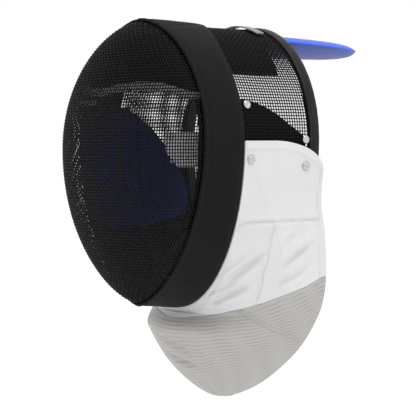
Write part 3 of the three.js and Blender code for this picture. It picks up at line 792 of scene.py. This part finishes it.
def bibColumns(share):  # share runs -1..1 across; the middle part starts under the chin
    k = np.abs(share) / bibGrid["frontShare"]
    front = k <= 1
    height = mix(bib["chinTop"], bib["tabTop"], np.clip(k, 0, 1) ** 1.2)
    behind = np.clip((np.abs(share) - bibGrid["frontShare"]) / (1 - bibGrid["frontShare"]), 0, 1)
    f = mix(behind, np.sin(pi / 2 * behind), 0.6)
    tabFront = alongAt(bib["tabTop"], band["side"] + 0.4)
    top = np.where(front, height, bib["tabTop"])
    for _ in range(8):  # the tab's top edge falls with the depth its own points reach
        depths = bibSurface(mix(tabFront, rearAlong(top), f), top)[..., 1]
        top = np.where(front, height, bib["tabTop"] - tabTopDrop(depths))
    atTop = np.where(height < bib["chinTop"] + 0.01, 0, alongAt(height, band["side"] + 0.4))
    return top, atTop, np.where(front, 0, f)


def seamAlong(atTop, rearShare):
    tabFront = alongAt(bib["tabTop"], band["side"] + 0.4)
    return np.where(rearShare == 0, atTop, mix(tabFront, rearAlong(seamHeight(1.2)), rearShare))


def bibCloth():
    u, v = gridShares(2 * bibGrid["half"], bibGrid["down"])
    share = 2 * u[0] - 1
    top, atTop, rearShare = bibColumns(share)
    atSeam = seamHeight(seamAlong(atTop, rearShare)) + 0.2
    z = mix(top[None, :], atSeam[None, :], v)
    tabFront = alongAt(bib["tabTop"], band["side"] + 0.4)
    along = np.where(rearShare == 0, atTop, mix(tabFront, rearAlong(z), rearShare))
    signed = np.sign(share) * along
    base = bibPoint(signed, z, np.full(z.shape, bib["thick"]))
    away = outwardOf(base, bibTurned(base))
    fromTop = np.where(rearShare > 0, arcLengths(base, 0), 99)
    sideways = arcLengths(base, 1)
    fromRear = np.minimum(sideways, sideways[:, -1:] - sideways)
    edge = np.minimum(fromTop, fromRear)
    relief = bibGrid["hemRise"] * (1 - smooth(edge, bibGrid["hem"] - 1, bibGrid["hem"] + 0.6))
    relief -= 0.5 * np.exp(-((edge - bibGrid["hem"] - 0.4) / 0.9) ** 2)
    relief += lineRelief(mirrored(base), bibLines) * smooth(edge, 2, bibGrid["hem"] + 1)
    for rivetSpot in rivetSpots[2:]:
        back, height = rivetSpot["back"], rivetSpot["height"]
        centre = bibPoint(alongAt(height, back), np.array(float(height)), np.array(bib["thick"]))
        near = np.linalg.norm(mirrored(base) - centre, axis=-1)
        relief -= bibGrid["rivetDimple"] * (1 - smooth(near, 4, 9))
    quilt = 0.35 * np.sin(z / 9 + 3 * along) * np.sin(11 * along + z / 23)
    relief += quilt * smooth(base[..., 1], 50, 70) * smooth(edge, 2, 14)
    relief *= smooth(arcLengths(base, 0) + 99 * (rearShare > 0), 0.5, 7)
    final = base + away * relief[..., None]
    angle = angleAtHeight(z[0], band["side"])
    fromShell = points(np.sign(share) * np.sin(angle), 0, np.cos(angle))
    inward = np.where(rearShare[:, None] > 0, away[2], fromShell)
    tuck = final[0] - inward * np.where(rearShare > 0, 1.6, bibGrid["tuck"])[:, None]
    whole = np.concatenate([tuck[None], final])
    piece = layGrid("bibCloth", whole, turned=bibTurned(final))
    thicken(piece, bib["thick"] - 0.1, lining=("white", "blackPad"))
    finishPiece(piece, "bib_cloth", stands=["bib"])
    return piece, final, away


def bibTurned(spots):  # whether the grid's own faces look inwards
    facing = outwardOf(spots)
    return float((facing * (spots - (0, 110, -200))).sum(-1).mean()) < 0


def bibStitches(final, away):
    edge = bibGrid["hem"] - 1.4
    columns = 2 * bibGrid["half"] + 1
    tabStart = int(round((1 - bibGrid["frontShare"]) / 2 * (columns - 1)))
    paths = []
    down = arcLengths(final, 0)
    for side in (range(0, tabStart + 1), range(columns - tabStart - 1, columns)):
        rows = [int(np.argmin(np.abs(down[:, column] - edge))) for column in side]
        line = np.array([final[row, column] for row, column in zip(rows, side)])
        lineUp = np.array([away[row, column] for row, column in zip(rows, side)])
        paths.append((line, lineUp))
    sideways = arcLengths(final, 1)
    for fromSide in (sideways, sideways[:, -1:] - sideways):
        picks = np.argmin(np.abs(fromSide - edge), axis=1)
        rows = np.arange(8, final.shape[0])
        paths.append((final[rows, picks[rows]], away[rows, picks[rows]]))
    return sewStitches("bibStitches", paths, "thread", "bib_cloth",
                       {"pitch": 3.2, "length": 2.3, "width": 0.6, "high": 0.3})


lame = {"pitch": 4.6, "deep": 0.35, "furrowShare": 0.16, "slack": 18, "seamShade": 0.8,
        "tuck": 1.6}  # how far its top runs up inside the white cloth


def bibLame():
    u, v = gridShares(180, 200)
    share = 2 * u[0] - 1
    _, atTop, rearShare = bibColumns(share)
    atSeam = seamAlong(atTop, rearShare)
    start = seamHeight(atSeam) + lame["tuck"]
    z = mix(start[None, :], bib["tip"], v)
    limit = mix(1, 1 / rearAlong(seamHeight(1.2)), smooth(v, 0, 0.8))
    along = atSeam * limit
    base = bibPoint(np.sign(share) * along, z, np.full(z.shape, bib["thick"]))
    away = outwardOf(base, bibTurned(base))
    down = arcLengths(base, 0)
    side = mirrored(base)
    seamLevel = np.interp(along, lameLines[0]["along"], lameLines[0]["height"])
    sidePanel = smooth(z - seamLevel, -0.6, 0.6) * smooth(along, 0.45, 0.5)
    steady = down - lame["slack"] * np.minimum(along, 1.2) ** 1.4
    rib = mix(steady, down, sidePanel) / lame["pitch"]
    wobble = 0.1 * np.sin(17 * along + 1) + 0.08 * np.sin(41 * along + z / 11)
    furrow = np.exp(-(((rib + wobble) % 1 - 0.5) / lame["furrowShare"]) ** 2)
    furrow *= 0.75 + 0.25 * np.sin(23 * along + z / 7)
    hem = down[-1:] - down
    furrow *= smooth(down, 3, 5.5)
    relief = -lame["deep"] * furrow + 0.2 * np.sin(z / 8 + 4 * along)
    relief += lineRelief(side, lameLines) + lineRelief(base, foldLines)
    relief += 0.4 * (1 - smooth(hem, 5, 6.5)) - 0.4 * np.exp(-((hem - 7) / 0.9) ** 2)
    final = base + away * (relief * smooth(v, 0, 0.02))[..., None]
    final -= away * (0.9 * (1 - smooth(down, lame["tuck"] - 0.4, lame["tuck"] + 1.2)))[..., None]
    fromSeam, _ = lineDistance(side, tracedLine(lameLines[0]["along"], lameLines[0]["height"], bib["thick"]))
    # The furrow attribute is painted shade: it darkens the furrows and a strip beside the panel seam.
    piece = layGrid("lameCloth", final, turned=bibTurned(final),
                    values=("furrow", np.maximum(furrow * (1 - np.exp(-(fromSeam / 2.5) ** 2)),
                                                 lame["seamShade"] * np.exp(-((fromSeam - 1.7) / 0.6) ** 2))))
    thicken(piece, bib["thick"] - 0.1, lining=("lame", "blackPad"))
    return finishPiece(piece, "lame", stands=["bib_lame"])


bibPiece, bibSpots, bibAway = bibCloth()
hemStitches = bibStitches(bibSpots, bibAway)
lamePiece = bibLame()
print("the bib hangs")

padWall = {"rim": -shell["mesh"] - 1.9, "outer": 1.0}


def puff(u, v, power=0.55):
    return ((1 - np.abs(2 * u - 1) ** 4) * (1 - np.abs(2 * v - 1) ** 4)) ** power


def channel(share, places, wide=0.012, deep=0.3):  # sewn lines across a pad
    return 1 - deep * sum(np.exp(-((share - place) / wide) ** 2) for place in places)


def makePad(name, across, down, place, thick, slot, coats, stands, sewn=()):
    u, v = gridShares(across, down)
    swell = puff(u, v)
    crumple = 1 + 0.035 * np.sin(47 * u + 3 * v) * np.sin(29 * v + 1)
    inner = place(u, v, padWall["rim"] - thick * swell * channel(u, sewn) * crumple)
    outer = place(u, v, padWall["rim"] + padWall["outer"] * swell)
    faces = [layGrid(name, outer), layGrid(name + "Inner", inner)]
    for face, coat in zip(faces, coats):
        face.data.materials.append(finishes[coat])
    piece = joinPieces(name, faces, merge=0.05)
    finishPiece(piece, slot, stands=stands)
    return piece


def crownPlace(u, v, out):
    angle = mix(-radians(56), radians(56), u)
    return shellPoint(angle, mix(12, mix(116, 110, np.abs(2 * u - 1) ** 6), v), out)


foreheadEdge = [  # the pad's lower edge: share of the way to the side, height
    {"side": 0.0, "height": -73}, {"side": 0.35, "height": -69}, {"side": 0.6, "height": -67.5},
    {"side": 0.8, "height": -68.5}, {"side": 0.92, "height": -73}, {"side": 1.0, "height": -78},
]


def foreheadPlace(u, v, out, down=0.0):
    across = 2 * u - 1
    inset = out - 0.8
    turn = np.sin(np.clip(across / 0.92, -1, 1) * radians(89))
    edge = np.interp(np.abs(turn), [row["side"] for row in foreheadEdge],
                     [row["height"] for row in foreheadEdge])
    z = mix(-12 + inset, edge, v) - down
    spots = facePoint(halfWidthAt(z, 0, inset) * turn, z, inset)
    spots[..., 1] = np.minimum(spots[..., 1], -1) + 12 * smooth(np.abs(across), 0.9, 1)
    return spots


def foreheadBinding():  # a tape folded round the pad's lower edge
    u, v = gridShares(90, 12)
    turn = 2 * pi * v
    lowest = np.full(u.shape, 0.985)
    spots = foreheadPlace(u, lowest, padWall["rim"] + 1.6 * np.sin(turn), 4.4 * np.cos(turn))
    piece = joinPieces("foreheadBinding", [layGrid("foreheadBinding", spots)], merge=0.02)
    finishPiece(piece, "elastic", "greyBinding")


# The cheek pads' outline: millimetres behind the face rim, the top edge of the wearer's left and
# right pad there, and the bottom edge. The soft pads don't sit quite alike.
cheekOutline = [dict(zip(("back", "left", "right", "bottom"), row)) for row in (
    (-4, -78, -78, -206), (15, -77.5, -77.5, -214), (33, -77.5, -79, -217.5), (51, -78, -83, -216),
    (66, -80.5, -90, -213), (80, -85.5, -100, -210), (94, -93, -113, -206), (108, -103, -131, -204.5),
    (118, -109.5, -148, -201), (125, -114, -163, -190), (128, -117, -172, -176))]


def cheekPlace(side):
    backs = [row["back"] for row in cheekOutline]

    def place(u, v, out):
        y = mix(backs[0], backs[-1], u)
        z = mix(np.interp(y, backs, [row["left" if side > 0 else "right"] for row in cheekOutline]),
                np.interp(y, backs, [row["bottom"] for row in cheekOutline]), v)
        spots = shellPoint(angleAtHeight(z, y), y, out)
        spots[..., 0] *= side
        return spots
    return place


def chinPlace(u, v, out):
    return shellPoint(mix(radians(125), radians(235), u), mix(8, 64, v), out)


black, blue = ("blackPad", "blackPad"), ("cheekBack", "bluePad")  # each pad's outer and inner side
makePad("crownPad", 96, 40, crownPlace, 12.5, "black_pad", black, ["crown_pad"], (0.34, 0.66))
makePad("foreheadPad", 90, 30, foreheadPlace, 10, "black_pad", black, ["forehead_pad"], (0.3, 0.5, 0.7))
makePad("cheekPadLeft", 60, 60, cheekPlace(1), 10.5, "blue_pad", blue, ["cheek_pad_left"], (0.5,))
makePad("cheekPadRight", 60, 60, cheekPlace(-1), 10.5, "blue_pad", blue, ["cheek_pad_right"], (0.5,))
foreheadBinding()
makePad("chinPad", 96, 30, chinPlace, 11.5, "black_pad", black, ["chin_pad"], (0.25, 0.5, 0.75))
print("the pads are in")

strap = {"top": -109, "tall": 39, "thick": 1.5, "from": 99, "to": 152, "half": 97, "square": 0.6, "cords": 13,
         "studBack": 106, "studTop": -114.5, "studGap": 27}


def rearStrap():
    u, v = gridShares(120, 78)
    turn = pi / 2 * (2 * u - 1)
    ribs = 0.18 * np.cos(2 * pi * strap["cords"] * v)
    x = (strap["half"] + ribs) * np.sign(turn) * np.abs(np.sin(turn)) ** strap["square"]
    y = mix(strap["from"], strap["to"] - 1 + ribs, np.abs(np.cos(turn)) ** strap["square"])
    piece = layGrid("rearStrap", points(x, y, strap["top"] - strap["tall"] * v), turned=True)
    thicken(piece, strap["thick"] - 0.3)
    finishPiece(piece, "elastic", "elastic", stands=["rear_strap"])
    for side, word in ((1, "Left"), (-1, "Right")):
        for row in (0, 1):
            level = strap["studTop"] - strap["studGap"] * row
            seatAt = toFrame((side * (strap["half"] - 1.6), strap["studBack"], level))
            stud = rivetHead(f"strapStud{word}{row + 1}", seatAt, Vector((-side, 0, 0)), 2.8)
            finishPiece(stud, "steel", "steel")


tongue = {"halfWidth": 35, "from": 150, "to": 286, "level": -16, "rise": 8.5, "fall": 15.5, "slope": 5,
          "cord": 0.9}


def tonguePlace(u, v, above):
    across = 2 * u - 1
    half = tongue["halfWidth"] * (1 - v ** 3.2) ** 0.62 * (0.9 + 0.1 * smooth(v, 0, 0.2))
    ends = np.sqrt(np.maximum(0, 1 - v ** 6)) * (0.55 + 0.45 * smooth(v, 0, 0.25))
    ends *= smooth(v, -0.01, 0.03) ** 0.5
    swell = np.maximum(1 - across ** 2, 0) ** 0.7 * ends
    rim = np.exp(-((1 - np.abs(across)) / 0.12) ** 2) * ends
    pucker = 0.35 * rim * np.sin(v * 120 + 2 * np.sin(9 * v))
    fall = tongue["fall"] * (1 - 0.35 * v)
    thick = np.where(above, tongue["rise"], -fall) + pucker
    z = tongue["level"] - tongue["slope"] * v + thick * swell
    return points(half * across, mix(tongue["from"], tongue["to"], v), z)


def paddedTongue():
    u, v = gridShares(72, 110)
    v = np.sin(pi / 2 * v) ** 1.15  # closer rows towards the tip
    faces = []
    # The top face takes the cloth's blue; the under face takes painted shade with a painted pale reflection.
    for above, coat in ((True, "tongueTop"), (False, "tongueUnder")):
        face = layGrid("tongue" + coat, tonguePlace(u, v, above))
        face.data.materials.append(finishes[coat])
        faces.append(face)
    piece = finishPiece(joinPieces("paddedTongue", faces, merge=0.05), "tongue_blue", stands=["tongue"])
    line = np.concatenate([tonguePlace(np.zeros(80), np.linspace(0.0, 1, 80), True),
                           tonguePlace(np.ones(80), np.linspace(1, 0.0, 80), True)])
    finishPiece(roundWires("tongueCord", [line], tongue["cord"], 2, False), "tongue_blue", "tongueTop")


plate = {"reach": 23.5, "from": 119, "to": 129, "gap": 0.45, "thick": 1.5, "headAt": 6, "head": 1.9}


def clampPlate():
    u, v = gridShares(60, 16)
    angle = mix(-radians(plate["reach"]), radians(plate["reach"]), u)
    spots = shellPoint(angle, mix(plate["from"], plate["to"], v), plate["gap"] + plate["thick"])
    piece = layGrid("clampPlate", spots, turned=True)
    thicken(piece, plate["thick"], 40)
    edge = piece.modifiers.new("edge", "BEVEL")
    edge.width = 0.4 * mm
    edge.segments = 2
    edge.limit_method = "ANGLE"
    applyModifiers(piece)
    top = plate["gap"] + plate["thick"] - shell["crownFall"] - 0.1
    middle = (plate["from"] + plate["to"]) / 2
    heads = [rivetHead("plateHead", toFrame((side * plate["headAt"], middle, top)), Vector((0, 0, 1)),
                       plate["head"]) for side in (-1, 1)]
    whole = joinPieces("clampPlate", [piece, *heads])
    bpy.ops.object.shade_smooth_by_angle(angle=radians(40))
    finishPiece(whole, "steel", "plate", stands=["tongue_plate"])


rivet = {"radius": 4.3, "gap": 0.45}
# share of the head's radius, height in millimetres: a domed head with a shallow dimple
rivetProfile = [dict(zip(("radius", "high"), row)) for row in (
    (0.0, 0.95), (0.22, 1.0), (0.34, 1.35), (0.45, 1.5), (0.62, 1.42), (0.8, 1.1), (0.93, 0.65), (1.0, 0.2),
    (0.98, 0.0))]


def rivetHead(name, place, up, radius):
    u, v = gridShares(28, 22)
    reach = profileOf(rivetProfile, "radius", v) * radius
    high = profileOf(rivetProfile, "high", v) * min(radius / rivet["radius"], 1)
    turned = Vector(up).to_track_quat("Z", "Y").to_matrix()
    local = points(reach * np.cos(2 * pi * u), reach * np.sin(2 * pi * u), high)
    spots = local @ np.array(turned).T + np.array(place) / mm + (0, seat["back"], -seat["below"])
    return joinPieces(name, [layGrid(name, spots)], merge=0.02)


def rivets():
    for spot in rivetSpots:
        back, height = float(spot["back"]), float(spot["height"])
        if spot["onBib"]:
            def wallAt(z, y):
                return bibPoint(alongAt(z, y), np.array(z), np.array(bib["thick"]))
        else:
            def wallAt(z, y):
                return shellPoint(angleAtHeight(z, y), y)
        at = wallAt(height, back)
        across = wallAt(height, back + 2) - wallAt(height, back - 2)
        upward = wallAt(height + 2, back) - wallAt(height - 2, back)
        up = unit(np.cross(across, upward))
        for side, word in ((1, "left"), (-1, "right")):
            flip = np.array([side, 1, 1])
            seatAt = toFrame((at + up * (0.1 if spot["onBib"] else rivet["gap"])) * flip)
            name = f"{spot['name']}_{word}"
            head = rivetHead("head_" + name, seatAt, Vector(up * flip), rivet["radius"])
            finishPiece(head, "rivet", "rivet", stands=[name])


rearStrap()
paddedTongue()
clampPlate()
rivets()
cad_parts["tongue_spring"].data.materials.clear()
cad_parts["tongue_spring"].data.materials.append(finishes["steel"])
print("the tongue, plate, spring and rivets are on")

bpy.ops.object.select_all(action="DESELECT")
bpy.ops.mesh.primitive_plane_add(size=studio["floorSize"], location=(0, 0, studio["floor"]))
floor = bpy.context.active_object
floorFinish, floorTree, floorShader = newFinish("palePaper", (0.93, 0.93, 0.93), 0.9)
floorShader.inputs["Emission Color"].default_value = (1, 1, 1, 1)
floorShader.inputs["Emission Strength"].default_value = studio["floorGlow"]
uneven(floorTree, floorShader, coordinates(floorTree, "Object"), 0.85, 0.95, 3)
floor.data.materials.append(floorFinish)
